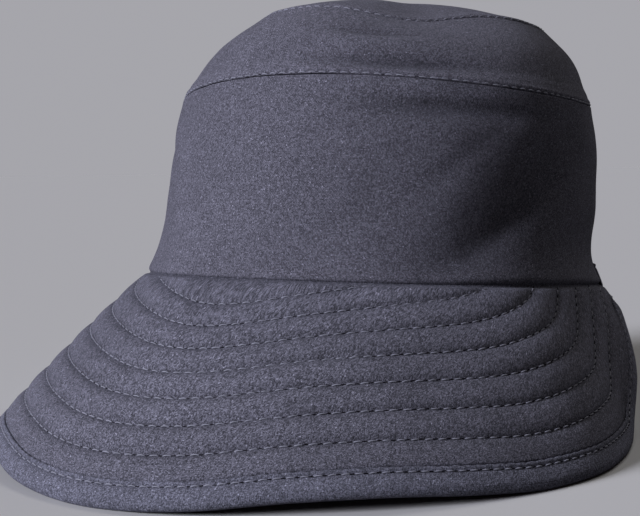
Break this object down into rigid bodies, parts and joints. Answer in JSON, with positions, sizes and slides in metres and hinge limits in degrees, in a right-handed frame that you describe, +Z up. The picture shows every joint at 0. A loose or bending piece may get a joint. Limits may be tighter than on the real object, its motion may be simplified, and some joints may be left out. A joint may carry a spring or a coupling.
{
  "type": "sun cap",
  "caption": "Cloth sun cap with a lapped, panelled crown and a wide sloping brim, row-stitched and bound at its edge, open at the back of the rim.",
  "frame": {"origin": "middle of the footprint, on the surface that the brim's edge rests on", "axes": "+Z up, -Y towards the front of the brim, +X towards the wearer's left"},
  "size_m": [0.2304, 0.266, 0.1596],
  "materials": {
    "crown_cloth": "fine plain weave, matt",
    "brim_cloth": "fine plain weave, padded and row-stitched",
    "trim_cloth": "bias strip of the same cloth, topstitched"
  },
  "bodies": {
    "root": {"side_band": "crown_cloth", "upper_panel": "crown_cloth", "top_panel": "crown_cloth", "brim": "brim_cloth", "brim_binding": "trim_cloth", "back_hem": "trim_cloth"}
  },
  "joints": []
}
